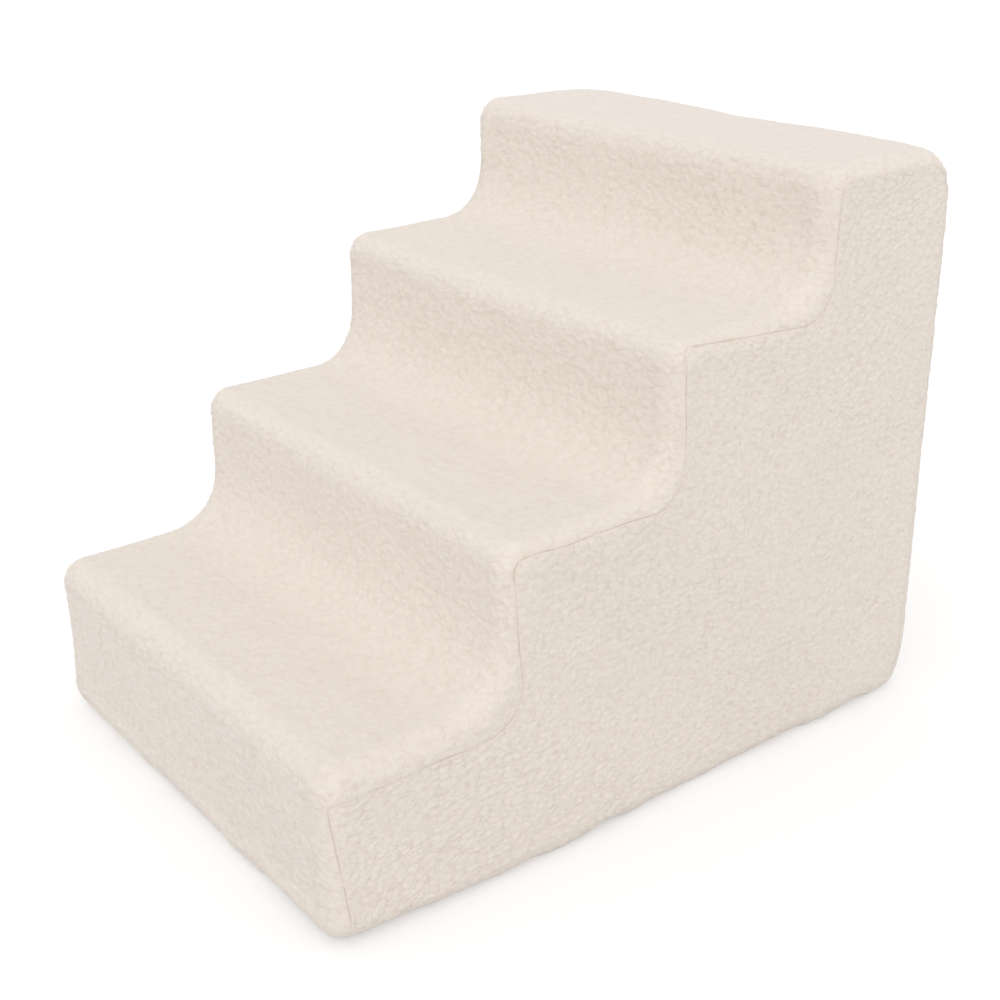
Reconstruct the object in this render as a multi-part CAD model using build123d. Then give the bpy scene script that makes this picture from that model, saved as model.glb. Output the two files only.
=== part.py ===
from build123d import *
import math
import os

os.makedirs("parts", exist_ok=True)

# Pet stairs: four soft steps of stacked foam in a zipped fleece cover.
# Origin at the middle of the footprint, on the floor. +Z is up, the front of the
# stairs faces -Y, the steps rise towards +Y and the width runs along X.
# All lengths are in millimetres.

# The stairs as a whole
stair_width = 370
tread_depth = 127
riser_1 = 120
riser_2 = 101
riser_3 = 96
riser_4 = 88

# Roundness of the stuffed cover
side_radius = 16
corner_extra = 4
back_top_extra = 22
toe_radius = 20

# Fleece and seams
fleece_thickness = 6
seam_step = 1
groove_half_width = 1
groove_depth = 1.5
seam_thread_radius = 0.6
hem_flat = 5

# Base fabric with its printed grip dots
base_lift = 0.8
base_thickness = 1.2
dot_radius = 3
dot_taper = 0.8
dot_pitch = 30
base_thread_radius = 0.35

# Foam core
foam_toe_radius = 3
glue_thickness = 0.5
glue_margin = 12

# Zip across the back
zip_height = 45
zip_side_margin = 20
zip_slot_height = 14
tape_thickness = 0.6
tape_edge_gap = 0.6
tape_margin = 8
tape_end_margin = 8
tooth_width = 1.1
tooth_gap = 0.2
tooth_reach = 1.2
tooth_root = 2.8
tooth_thickness = 2.4
stop_length = 2
stop_gap = 0.4
stop_margin = 3

# Zip slider
plate_thickness = 0.9
slider_clearance = 0.2
slider_length = 11
slider_tail_width = 8.2
slider_nose_width = 10
slider_corner = 1
post_length = 2
post_width = 0.8
post_setback = 1
bail_span = 5.8
bail_gap = 1.9
bail_thickness = 1.2
bail_width = 1.6
bail_corner = 0.5
relief_margin = 1.5

# Zip pull
pull_length = 22
pull_thickness = 1.4
pull_eye_width = 6.4
pull_tip_width = 8
pull_tip_corner = 3
pull_window_gap = 0.5
pull_pin_lift = 1
grip_recess_depth = 0.3
grip_recess_border = 1.4

# Stitch rows that hold the zip tapes
stitch_length = 3
stitch_space = 1
stitch_width = 0.6
stitch_height = 0.3
stitch_setback = 4
crease_depth = 1
crease_width = 1.8

# How far a cutting block runs past what it cuts
overrun = 5

# Worked out from the sizes above
risers = [riser_1, riser_2, riser_3, riser_4]
step_count = len(risers)
stair_depth = tread_depth * step_count
tread_levels = [sum(risers[: step + 1]) for step in range(step_count)]
front = -stair_depth / 2
back = stair_depth / 2
side = stair_width / 2
corner_radius = side_radius + corner_extra
back_top_radius = side_radius + back_top_extra
seam_inset = side_radius + seam_step
hem_inset = corner_radius + hem_flat
zip_slot_length = stair_width - 2 * zip_side_margin
base_top = base_lift + base_thickness
foam_back = back - fleece_thickness


def outline_points(inset, bottom):
    """Corners of the side outline, drawn in by inset, from the front foot to the back foot."""
    points = [(front + inset, bottom)]
    for step, level in enumerate(tread_levels):
        riser_plane = front + step * tread_depth + inset
        last = step == step_count - 1
        tread_end = back - inset if last else riser_plane + tread_depth
        points.append((riser_plane, level - inset))
        points.append((tread_end, level - inset))
    points.append((back - inset, bottom))
    return points


def outline_radii(inset, toe):
    """Radius at each corner above the feet: nosing and toe in turn, then the back top."""
    nosing = max(corner_radius - inset, 0)
    radii = [nosing, toe] * step_count
    radii[-1] = max(back_top_radius - inset, 0)
    return radii


def stair_profile(inset, bottom, foot, toe):
    """The side outline as a face in the YZ plane, with rounded corners."""
    radii = [foot] + outline_radii(inset, toe) + [foot]
    return make_face(Plane.YZ * FilletPolyline(outline_points(inset, bottom), radius=radii, close=True))


def stair_prism(inset, low, high):
    """A prism of the drawn-in outline between two X planes, open past the floor."""
    face = stair_profile(inset, -overrun, 0, toe_radius + inset)
    return Pos(low, 0, 0) * extrude(face, high - low, dir=(1, 0, 0))


def stair_body(inset, toe):
    """The stuffed shape, drawn in by inset, with every edge of both sides rounded."""
    face = stair_profile(inset, inset, corner_radius - inset, toe)
    half = side - inset
    body = Pos(-half, 0, 0) * extrude(face, 2 * half, dir=(1, 0, 0))
    rims = [edge for edge in body.edges() if abs(abs(edge.center().X) - half) < half / 1000]
    return fillet(rims, side_radius - inset)


def block(x_low, x_high, y_low, y_high, z_low, z_high):
    """A box between two planes along each axis."""
    box = Box(x_high - x_low, y_high - y_low, z_high - z_low, align=(Align.MIN,) * 3)
    return Pos(x_low, y_low, z_low) * box


def zip_block(x_low, x_high, out_low, out_high, up_low, up_high):
    """A box placed from the zip: out from the foam's back, up from the zip's middle line."""
    return block(
        x_low, x_high, foam_back + out_low, foam_back + out_high, zip_height + up_low, zip_height + up_high
    )


def zip_plate(sketch, x, out_low, out_high):
    """A flat piece lying along the zip, from a sketch whose axes run along the zip and up."""
    plane = Plane(origin=(x, foam_back + out_high, zip_height), x_dir=(1, 0, 0), z_dir=(0, -1, 0))
    return extrude(plane * sketch, out_high - out_low, dir=(0, -1, 0))


def save(name, shape):
    """Write one node."""
    shape.label = name
    export_step(shape, f"parts/{name}.step")


# Places along and across the zip, worked out once for all its pieces
slot_end = zip_slot_length / 2
slot_half_height = zip_slot_height / 2
tooth_middle = tape_thickness / 2
tooth_low = tooth_middle - tooth_thickness / 2
tooth_high = tooth_middle + tooth_thickness / 2
tooth_pitch = 2 * (tooth_width + tooth_gap)
channel_half_height = tooth_root + slider_clearance
inner_plate_high = tooth_low - slider_clearance
outer_plate_low = tooth_high + slider_clearance
inner_plate_low = inner_plate_high - plate_thickness
outer_plate_high = outer_plate_low + plate_thickness
slider_x = slot_end - stop_margin - stop_length - stop_gap - slider_length / 2
chain_end = slider_x + slider_length / 2 - post_setback - post_length - stop_gap
slider_travel = zip_slot_length - stop_margin - stop_length - 2 * stop_gap - slider_length / 2 - pull_length
bottom_stop_high = slider_x - slider_travel - slider_length / 2 - stop_gap
tape_upper_edge = slot_half_height + tape_margin
tape_end = slot_end + tape_end_margin
stitch_row = slot_half_height + stitch_setback
base_half_width = side - hem_inset
base_half_depth = back - hem_inset


# Fleece cover

def side_region(sign):
    """What belongs to one side panel: inside the seam line, down to the base fabric's edge."""
    ends = sorted((sign * base_half_width, sign * (side + overrun)))
    return stair_prism(seam_inset, *ends)


def seam_groove(sign):
    """The crease that the side seam draws into the fleece."""
    ends = sorted((sign * (side - groove_depth), sign * (side + overrun)))
    outer = stair_prism(seam_inset - groove_half_width, *ends)
    return outer - stair_prism(seam_inset + groove_half_width, *ends)


def make_cover():
    """The fleece shell with its base opening, zip slot, tape pocket, and stitch and seam creases."""
    inner_toe = toe_radius + fleece_thickness
    shell = stair_body(0, toe_radius) - stair_body(fleece_thickness, inner_toe)
    shell -= block(
        -base_half_width, base_half_width, -base_half_depth, base_half_depth, -overrun, fleece_thickness + overrun
    )
    shell -= zip_block(
        -slot_end, slot_end, -overrun, fleece_thickness + overrun, -slot_half_height, slot_half_height
    )
    shell -= zip_block(-tape_end, tape_end, -overrun, tape_thickness, -tape_upper_edge, tape_upper_edge)
    for middle in (stitch_row, -stitch_row):
        shell -= zip_block(
            -slot_end,
            slot_end,
            fleece_thickness - crease_depth,
            fleece_thickness + overrun,
            middle - crease_width / 2,
            middle + crease_width / 2,
        )
    shell -= seam_groove(1)
    shell -= seam_groove(-1)
    return shell


cover = make_cover()
right_region = side_region(1)
left_region = side_region(-1)
strip = cover - right_region - left_region
hem_region = block(
    -side - overrun, side + overrun, base_half_depth - overrun, back + overrun, -overrun, zip_height
)
save("side_panel_right", cover & right_region)
save("side_panel_left", cover & left_region)
save("tread_panel", strip - hem_region)
save("back_hem_panel", strip & hem_region)


# Seam threads

def side_seam_thread(sign):
    """The thread pulled down into the side seam, from foot to foot."""
    x = sign * (side - groove_depth + seam_thread_radius)
    points = [(x, y, z) for y, z in outline_points(seam_inset, corner_radius)]
    radii = outline_radii(seam_inset, toe_radius + seam_inset)
    path = FilletPolyline(points, radius=radii)
    section = Plane(origin=points[0], z_dir=(0, 0, 1)) * Circle(seam_thread_radius)
    return sweep(section, path=path)


def base_seam_thread():
    """The thread round the base fabric, in the corner between the fabric and the hem."""
    half_width = base_half_width - base_thread_radius
    half_depth = base_half_depth - base_thread_radius
    height = base_lift - base_thread_radius
    corner = 4 * base_thread_radius
    points = [
        (-half_width, -half_depth, height),
        (half_width, -half_depth, height),
        (half_width, half_depth, height),
        (-half_width, half_depth, height),
    ]
    path = FilletPolyline(points, radius=corner, close=True)
    section = Plane(origin=(0, -half_depth, height), z_dir=(1, 0, 0)) * Circle(base_thread_radius)
    return sweep(section, path=path)


save("side_seam_thread_right", side_seam_thread(1))
save("side_seam_thread_left", side_seam_thread(-1))
save("base_seam_thread", base_seam_thread())


# Base fabric and grip dots

def copies_within(half_length, pitch, radius):
    """Places of a centred row of dots that stays inside half_length."""
    each_way = int((half_length - 2 * radius) / pitch)
    return [index * pitch for index in range(-each_way, each_way + 1)]


def grip_dots():
    """Printed dots that stand down from the base fabric to the floor."""
    dot = Cone(dot_radius - dot_taper, dot_radius, base_lift, align=(Align.CENTER, Align.CENTER, Align.MIN))
    rows = copies_within(base_half_depth, dot_pitch, dot_radius)
    columns = copies_within(base_half_width, dot_pitch, dot_radius)
    return Compound([Pos(x, y, 0) * dot for x in columns for y in rows])


save(
    "base_panel",
    block(-base_half_width, base_half_width, -base_half_depth, base_half_depth, base_lift, base_top),
)
save("grip_dots", grip_dots())


# Foam core: one slab to a step, glued at the tread levels

def foam_levels():
    """Height of each slab's top, from the base fabric upwards."""
    return [base_top] + [level - fleece_thickness for level in tread_levels]


def foam_core():
    """The foam that fills the cover, with the foot that stands in the base opening."""
    core = stair_body(fleece_thickness, foam_toe_radius)
    core += block(
        -base_half_width,
        base_half_width,
        -base_half_depth,
        base_half_depth,
        base_top,
        fleece_thickness + side_radius,
    )
    return core - zip_block(
        -tape_end,
        tape_end,
        inner_plate_low - relief_margin,
        overrun,
        -slider_nose_width / 2 - relief_margin,
        slider_nose_width / 2 + relief_margin,
    )


def foam_slab(core, step, levels):
    """The part of the core between two glue lines."""
    bottom = levels[step] + (glue_thickness if step else 0)
    return core & block(
        -side, side, front, back, bottom, levels[step + 1]
    )


def glue_layer(step, level):
    """The glue under one slab, kept back from the slab's edges."""
    inset = fleece_thickness + glue_margin
    return block(
        inset - side,
        side - inset,
        front + step * tread_depth + inset,
        back - inset,
        level,
        level + glue_thickness,
    )


core = foam_core()
levels = foam_levels()
for step in range(step_count):
    save(f"foam_slab_{step + 1}", foam_slab(core, step, levels))
for step in range(1, step_count):
    save(f"glue_layer_{step}", glue_layer(step, levels[step]))


# Zip tapes, teeth and stops

def zip_tape(sign):
    """One woven tape, in the pocket of the fleece behind the slot's edge."""
    ends = sorted((sign * tape_edge_gap, sign * tape_upper_edge))
    return zip_block(-tape_end, tape_end, 0, tape_thickness, *ends)


def zip_teeth(sign):
    """One row of moulded teeth, clamped on the tape's edge and meshed with the other row."""
    ends = sorted((-sign * tooth_reach, sign * tooth_root))
    tooth = zip_block(0, tooth_width, tooth_low, tooth_high, *ends) - zip_tape(1) - zip_tape(-1)
    last = chain_end - tooth_width - (tooth_pitch / 2 if sign < 0 else 0)
    count = int((last - bottom_stop_high) / tooth_pitch)
    return Compound([Pos(last - index * tooth_pitch, 0, 0) * tooth for index in range(count)])


def zip_bottom_stop():
    """The clamp across both tapes where the teeth begin."""
    stop = zip_block(
        bottom_stop_high - stop_length, bottom_stop_high, tooth_low, tooth_high, -tooth_root, tooth_root
    )
    return stop - zip_tape(1) - zip_tape(-1)


def zip_top_stops():
    """A clamp on each tape's edge, which the closed slider rests against."""
    low = slider_x + slider_length / 2 + stop_gap
    stops = []
    for sign in (1, -1):
        ends = sorted((sign * slider_clearance, sign * tooth_root))
        clamp = zip_block(low, low + stop_length, tooth_low, tooth_high, *ends)
        stops.append(clamp - zip_tape(sign))
    return Compound(stops)


save("zip_tape_upper", zip_tape(1))
save("zip_tape_lower", zip_tape(-1))
save("zip_teeth_upper", zip_teeth(1))
save("zip_teeth_lower", zip_teeth(-1))
save("zip_bottom_stop", zip_bottom_stop())
save("zip_top_stops", zip_top_stops())


# Zip slider

def slider_outline():
    """The slider seen from behind the stairs: a tail, and shoulders that widen to the nose."""
    end = slider_length / 2
    tail = slider_tail_width / 2
    nose = slider_nose_width / 2
    lower = [(-end, -tail), (0, -tail), (end / 2, -nose), (end, -tail)]
    upper = [(x, -up) for x, up in reversed(lower)]
    face = make_face(Polyline(lower + upper, close=True))
    tips = [corner for corner in face.vertices() if abs(corner.X) > end / 2]
    return fillet(tips, slider_corner)


def slider_bail():
    """The arch on the outer plate that the pull's pin lies under."""
    height = bail_gap + bail_thickness
    outer = Pos(0, height / 2) * Rectangle(bail_span + 2 * bail_thickness, height)
    outer = fillet(outer.vertices().group_by(Axis.Y)[-1], bail_thickness)
    inner = Pos(0, bail_gap / 2) * Rectangle(bail_span, bail_gap)
    inner = fillet(inner.vertices().group_by(Axis.Y)[-1], bail_corner)
    plane = Plane(
        origin=(slider_x, foam_back + outer_plate_high, zip_height - bail_width / 2),
        x_dir=(1, 0, 0),
        z_dir=(0, 0, 1),
    )
    return extrude(plane * (outer - inner), bail_width, dir=(0, 0, 1))


def zip_slider():
    """Two plates joined by the post that parts the teeth, with lips that leave room for the tapes."""
    outline = slider_outline()
    inner_lip = -slider_clearance
    outer_lip = tape_thickness + slider_clearance
    slider = zip_plate(outline, slider_x, inner_plate_low, inner_lip)
    slider += zip_plate(outline, slider_x, outer_lip, outer_plate_high)
    slider -= zip_block(
        slider_x - slider_length,
        slider_x + slider_length,
        inner_plate_high,
        outer_plate_low,
        -channel_half_height,
        channel_half_height,
    )
    post_end = slider_x + slider_length / 2 - post_setback
    slider += zip_block(
        post_end - post_length, post_end, inner_plate_high, outer_plate_low, -post_width / 2, post_width / 2
    )
    return slider + slider_bail()


save("zip_slider", zip_slider())


# Zip pull

def zip_pull():
    """A flat tab whose round pin lies under the slider's bail."""
    middle = outer_plate_high + pull_pin_lift
    low = middle - pull_thickness / 2
    high = middle + pull_thickness / 2
    eye = pull_eye_width / 2
    tip = pull_tip_width / 2
    points = [(0, -eye), (0, eye), (-pull_length, tip), (-pull_length, -tip)]
    face = make_face(Polyline(points, close=True))
    face = fillet(face.vertices().group_by(Axis.X)[0], pull_tip_corner)
    window_length = math.hypot(bail_span / 2 + bail_thickness, bail_gap + bail_thickness - pull_pin_lift)
    window_end = slider_x - window_length - pull_window_gap
    window_half = bail_width / 2 + pull_window_gap
    tab = zip_plate(face, slider_x, low, high)
    tab -= zip_block(window_end, slider_x + overrun, low - overrun, high + overrun, -window_half, window_half)
    grip_end = slider_x - pull_length + grip_recess_border
    grip_half = eye - grip_recess_border
    for out_low, out_high in ((low - overrun, low + grip_recess_depth), (high - grip_recess_depth, high + overrun)):
        tab -= zip_block(
            grip_end, window_end - 2 * grip_recess_border, out_low, out_high, -grip_half, grip_half
        )
    pin = Pos(slider_x, foam_back + middle, zip_height) * Cylinder(pull_thickness / 2, pull_eye_width)
    return tab + pin


save("zip_pull", zip_pull())


# Stitch rows that hold the zip tapes

def zip_stitching(sign):
    """A row of short stitches at the bottom of the crease that they pull into the fleece."""
    middle = sign * stitch_row
    sunk = fleece_thickness - crease_depth
    pitch = stitch_length + stitch_space
    count = int(zip_slot_length / pitch)
    first = -(count * pitch - stitch_space) / 2
    stitch = zip_block(
        first,
        first + stitch_length,
        sunk,
        sunk + stitch_height,
        middle - stitch_width / 2,
        middle + stitch_width / 2,
    )
    return Compound([Pos(index * pitch, 0, 0) * stitch for index in range(count)])


save("zip_stitching_upper", zip_stitching(1))
save("zip_stitching_lower", zip_stitching(-1))
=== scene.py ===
import math

import bmesh
import bpy
import numpy as np
from mathutils import Matrix, Vector


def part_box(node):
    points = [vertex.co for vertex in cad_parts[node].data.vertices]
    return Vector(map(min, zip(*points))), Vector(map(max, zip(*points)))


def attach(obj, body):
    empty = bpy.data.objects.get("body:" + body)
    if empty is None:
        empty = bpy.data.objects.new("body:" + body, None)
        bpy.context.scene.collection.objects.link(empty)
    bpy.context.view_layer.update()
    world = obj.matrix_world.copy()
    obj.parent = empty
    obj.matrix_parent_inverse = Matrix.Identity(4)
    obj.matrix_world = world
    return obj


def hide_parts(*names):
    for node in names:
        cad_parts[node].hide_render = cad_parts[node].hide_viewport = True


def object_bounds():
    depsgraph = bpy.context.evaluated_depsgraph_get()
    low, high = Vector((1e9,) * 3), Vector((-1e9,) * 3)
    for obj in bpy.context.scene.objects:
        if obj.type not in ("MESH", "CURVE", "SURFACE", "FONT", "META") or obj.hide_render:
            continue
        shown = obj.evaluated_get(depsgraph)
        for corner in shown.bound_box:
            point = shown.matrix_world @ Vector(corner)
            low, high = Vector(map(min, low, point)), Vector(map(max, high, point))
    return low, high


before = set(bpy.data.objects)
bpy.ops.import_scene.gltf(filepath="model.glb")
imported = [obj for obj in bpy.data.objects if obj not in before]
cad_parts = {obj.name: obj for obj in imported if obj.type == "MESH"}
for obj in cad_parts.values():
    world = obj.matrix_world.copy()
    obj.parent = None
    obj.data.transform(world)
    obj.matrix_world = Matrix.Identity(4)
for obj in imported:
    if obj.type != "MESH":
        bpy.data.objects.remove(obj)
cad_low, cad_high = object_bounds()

MM = 0.001


# Foam core.
# Four slabs of cream upholstery foam, one to a step, cut from stock sheet and glued in a stack.
# The cover hides them, so they keep their solid shape and take a skin of open cells.

FOAM_COLOUR = (0.84, 0.78, 0.60, 1)
FOAM_SHADE = (0.66, 0.58, 0.40, 1)
GLUE_COLOUR = (0.80, 0.70, 0.44, 1)
PORE_SIZE = 1.3 * MM
PORE_DEPTH = 0.4 * MM
GLUE_PATCH = 9 * MM
GLUE_DEPTH = 0.2 * MM


def new_material(name, roughness):
    """An empty Principled material. Returns it with its nodes, links and shader."""
    material = bpy.data.materials.new(name)
    material.use_nodes = True
    nodes, links = material.node_tree.nodes, material.node_tree.links
    shader = nodes["Principled BSDF"]
    shader.inputs["Roughness"].default_value = roughness
    return material, nodes, links, shader


def object_position(nodes):
    """The position on the piece in metres, which every pattern here is laid out on."""
    return nodes.new("ShaderNodeTexCoord").outputs["Object"]


def noise_mask(nodes, links, size, detail=2, roughness=0.5):
    """Smooth noise on the position, with features of a given size in metres."""
    noise = nodes.new("ShaderNodeTexNoise")
    noise.inputs["Scale"].default_value = 1 / size
    noise.inputs["Detail"].default_value = detail
    noise.inputs["Roughness"].default_value = roughness
    links.new(object_position(nodes), noise.inputs["Vector"])
    return noise


def two_tone(nodes, links, mask, low, high, shader):
    """Base colour that runs from low to high with a mask from 0 to 1."""
    mix = nodes.new("ShaderNodeMix")
    mix.data_type = "RGBA"
    mix.inputs[6].default_value = low
    mix.inputs[7].default_value = high
    links.new(mask, mix.inputs[0])
    links.new(mix.outputs[2], shader.inputs["Base Color"])


def worked_out(nodes, links, operation, *values):
    """One Math node, whose inputs are sockets or plain numbers."""
    node = nodes.new("ShaderNodeMath")
    node.operation = operation
    for socket, value in zip(node.inputs, values):
        if isinstance(value, (int, float)):
            socket.default_value = value
        else:
            links.new(value, socket)
    return node.outputs[0]


def relief(nodes, links, height, distance, shader):
    """Bump of a given depth in metres, from a height from 0 to 1."""
    bump = nodes.new("ShaderNodeBump")
    bump.inputs["Distance"].default_value = distance
    links.new(height, bump.inputs["Height"])
    links.new(bump.outputs["Normal"], shader.inputs["Normal"])


def clouded(name, roughness, noise, low, high, depth):
    """A material whose shade and relief both follow one soft noise, given as its size, detail and
    roughness. Returns it with its nodes, links, shader and noise."""
    material, nodes, links, shader = new_material(name, roughness)
    cloud = noise_mask(nodes, links, *noise).outputs["Fac"]
    two_tone(nodes, links, cloud, low, high, shader)
    relief(nodes, links, cloud, depth, shader)
    return material, nodes, links, shader, cloud


def foam_material():
    """Open cells: pale walls round pores darkened with painted shade."""
    material, nodes, links, shader = new_material("upholstery_foam", 0.95)
    cells = nodes.new("ShaderNodeTexVoronoi")
    cells.inputs["Scale"].default_value = 1 / PORE_SIZE
    links.new(object_position(nodes), cells.inputs["Vector"])
    two_tone(nodes, links, cells.outputs["Distance"], FOAM_SHADE, FOAM_COLOUR, shader)
    relief(nodes, links, cells.outputs["Distance"], PORE_DEPTH, shader)
    return material


def glue_material():
    """Contact glue that has dried in patches."""
    return clouded("dried_glue", 0.45, (GLUE_PATCH,), FOAM_COLOUR, GLUE_COLOUR, GLUE_DEPTH)[0]


def dress(names, material):
    """Give kept solids their finish."""
    for name in names:
        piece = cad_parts[name]
        piece.data.materials.clear()
        piece.data.materials.append(material)


slab_count = sum(name.startswith("foam_slab_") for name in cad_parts)
dress([f"foam_slab_{step + 1}" for step in range(slab_count)], foam_material())
dress([f"glue_layer_{step + 1}" for step in range(slab_count - 1)], glue_material())


# Tread panel.
# One long strip of sherpa fleece that runs from the front hem over every step and down the back
# to the zip. It wraps the side edges, and is sewn to the side panels a little way down them.

FLEECE = 6 * MM
RIM_RADIUS = 16 * MM
NOSING_RADIUS = 20 * MM
TOE_RADII = (38 * MM, 34 * MM, 38 * MM)
FOOT_RADIUS = 20 * MM
BACK_TOP_RADIUS = 24 * MM

half_width = cad_high.x
half_depth = cad_high.y
rim_start = half_width - RIM_RADIUS
tread_depth = 2 * half_depth / slab_count
tread_levels = [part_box(f"foam_slab_{step + 1}")[1].z + FLEECE for step in range(slab_count)]
base_low, base_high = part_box("base_panel")


def stair_corners():
    """Corners of the side outline as (y, z, radius), from the front edge of the base, up over the
    steps, and down the back to the back edge of the base."""
    corners = [(base_low.y, 0, 0), (-half_depth, 0, FOOT_RADIUS)]
    for step, (level, inner_radius) in enumerate(zip(tread_levels, (*TOE_RADII, BACK_TOP_RADIUS))):
        riser = -half_depth + step * tread_depth
        corners.append((riser, level, NOSING_RADIUS))
        corners.append((riser + tread_depth, level, inner_radius))
    corners += [(half_depth, 0, FOOT_RADIUS), (base_high.y, 0, 0)]
    return np.array(corners)


def path_runs(corners):
    """A path with rounded corners as straight runs and arcs in turn. Each has its start point, its
    heading, its signed radius (positive where it bends right, 0 on a straight run), its length."""
    steps = np.diff(corners[:, :2], axis=0)
    lengths = np.linalg.norm(steps, axis=1)
    headings = np.arctan2(steps[:, 1], steps[:, 0])
    turns = (headings[:-1] - headings[1:] + math.pi) % (2 * math.pi) - math.pi
    cut = np.zeros(len(corners))
    cut[1:-1] = corners[1:-1, 2] * np.tan(np.abs(turns) / 2)
    runs = []
    for i, heading in enumerate(headings):
        along = np.array([math.cos(heading), math.sin(heading)])
        start = corners[i, :2] + cut[i] * along
        runs.append((*start, heading, 0, lengths[i] - cut[i] - cut[i + 1]))
        if i < len(turns):
            radius = corners[i + 1, 2]
            start = corners[i + 1, :2] - cut[i + 1] * along
            runs.append((*start, heading, math.copysign(radius, turns[i]), radius * abs(turns[i])))
    return np.array(runs)


def on_path(runs, run, share):
    """Point and left-hand normal at a share of the way along a run: start plus heading times
    distance on a straight run, start plus radius times the change of normal on an arc."""
    y, z, heading, radius, length = np.moveaxis(runs[run], -1, 0)
    distance = share * length
    arc = radius != 0
    turned = heading - np.where(arc, distance / np.where(arc, radius, 1), 0)
    before = np.stack([-np.sin(heading), np.cos(heading)], -1)
    normal = np.stack([-np.sin(turned), np.cos(turned)], -1)
    straight = distance[..., None] * np.stack([np.cos(heading), np.sin(heading)], -1)
    bent = radius[..., None] * (normal - before)
    return np.stack([y, z], -1) + np.where(arc[..., None], bent, straight), normal


OUTLINE = path_runs(stair_corners())
RUN_STARTS = np.concatenate([[0], np.cumsum(OUTLINE[:, 4])[:-1]])
OUTLINE_LENGTH = OUTLINE[:, 4].sum()


def run_and_share(s):
    """The run of the outline that holds length s, and the share of it that s has covered."""
    s = np.clip(s, 0, OUTLINE_LENGTH)
    run = np.clip(np.searchsorted(RUN_STARTS, s, side="right") - 1, 0, len(OUTLINE) - 1)
    return run, np.clip((s - RUN_STARTS[run]) / OUTLINE[run, 4], 0, 1)


def nearest_on_path(runs, where):
    """Nearest point of a path to each point, run by run. On a straight run it is the foot of the
    perpendicular. On an arc it is where the line from the centre meets it, at the centre plus
    radius times the normal. Past either end it is the end."""
    best = np.full(where.shape[:-1], np.inf)
    found = np.zeros_like(where)
    for i, (y, z, heading, radius, length) in enumerate(runs):
        start = np.array([y, z])
        if radius:
            centre = start - radius * np.array([-math.sin(heading), math.cos(heading)])
            normal = (where - centre) * math.copysign(1, radius)
            turned = heading - np.arctan2(-normal[..., 0], normal[..., 1])
            middle = length / radius / 2
            turned = (turned - middle + math.pi) % (2 * math.pi) - math.pi + middle
            share = turned * radius / length
        else:
            share = (where - start) @ np.array([math.cos(heading), math.sin(heading)]) / length
        close, _ = on_path(runs, np.full(share.shape, i), np.clip(share, 0, 1))
        gap = np.linalg.norm(where - close, axis=-1)
        nearer = gap < best
        best = np.where(nearer, gap, best)
        found = np.where(nearer[..., None], close, found)
    return found


FLOOR_RUN = (base_high.y, 0, math.pi, 0, base_high.y - base_low.y)
CLOSED_OUTLINE = np.vstack([OUTLINE, FLOOR_RUN])
DOWN = np.array([0.0, -1.0])
OUTWARD_HINT = 0.2 * MM


def shell(where, fallback):
    """Sideways place, depth and normal of the stuffed body over points (y, z) of the side view. At
    a depth d inside the outline the edge is a quarter round: cos(t) = 1 - d / radius, x is the
    rim's start plus radius times sin(t), and past one radius it is flat. The fallback is the way
    out for a point right on the outline."""
    gap = nearest_on_path(CLOSED_OUTLINE, where) - where
    depth = np.linalg.norm(gap, axis=-1)
    turn = np.arccos(1 - np.minimum(depth, RIM_RADIUS) / RIM_RADIUS)
    outward = gap + OUTWARD_HINT * fallback
    outward /= np.linalg.norm(outward, axis=-1, keepdims=True)
    facing = np.concatenate([np.sin(turn)[..., None], np.cos(turn)[..., None] * outward], -1)
    return rim_start + RIM_RADIUS * np.sin(turn), depth, facing


def eased(t):
    """A smooth step from 0 to 1."""
    t = np.clip(t, 0, 1)
    return t * t * (3 - 2 * t)


# Curls of the pile: soft clumps of tumbled polyester with fine creases between them, flattened a
# little on the treads, over the slow swells of the stuffing.

CURL_SIZE = 4.0 * MM
CURL_HEIGHT = 1.7 * MM
CURL_STRETCH = np.array([1.9, 1.35, 0.95])
TUFT_SIZE = 2.8 * MM
TUFT_HEIGHT = 0.45 * MM
WARP_SIZE = 8 * MM
WARP_REACH = 1.4 * MM
SIDE_SHARE, RISER_SHARE, TREAD_SHARE = 0.82, 0.85, 0.4
CREST_SHARE, EDGE_SHARE, EDGE_FALL = 0.65, 0.35, 0.4
CURL_LEVEL, TUFT_LEVEL = 0.6, 0.62
UNEVEN_SIZE = 24 * MM
UNEVEN_SHARE = 0.3
BULGES = ((95 * MM, 1.3 * MM), (40 * MM, 0.6 * MM), (17 * MM, 0.2 * MM))


def scramble(cells, seed):
    """A repeatable random whole number below 2**30 for each cell: three products mixed by
    exclusive-or, then by shifts and a multiplication."""
    mixed = (cells[..., 0] * 73856093) ^ (cells[..., 1] * 19349663) ^ (cells[..., 2] * 83492791)
    mixed = (mixed ^ (seed * 2654435761)) & 0xFFFFFFFF
    mixed = ((mixed ^ (mixed >> 16)) * 0x45D9F3B) & 0xFFFFFFFF
    mixed = ((mixed ^ (mixed >> 16)) * 0x45D9F3B) & 0xFFFFFFFF
    return (mixed ^ (mixed >> 16)) & 0x3FFFFFFF


def soft_noise(where, size, seed):
    """Smooth noise from -1 to 1: random corner values of a cubic lattice, eased between corners."""
    lattice = where / size
    cell = np.floor(lattice).astype(np.int64)
    t = lattice - cell
    t = t * t * t * (t * (t * 6 - 15) + 10)
    total = np.zeros(where.shape[:-1])
    for corner in np.ndindex(2, 2, 2):
        weight = np.prod(np.where(corner, t, 1 - t), axis=-1)
        total += weight * scramble(cell + np.array(corner), seed) / 0x3FFFFFFF
    return 2 * total - 1


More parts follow.
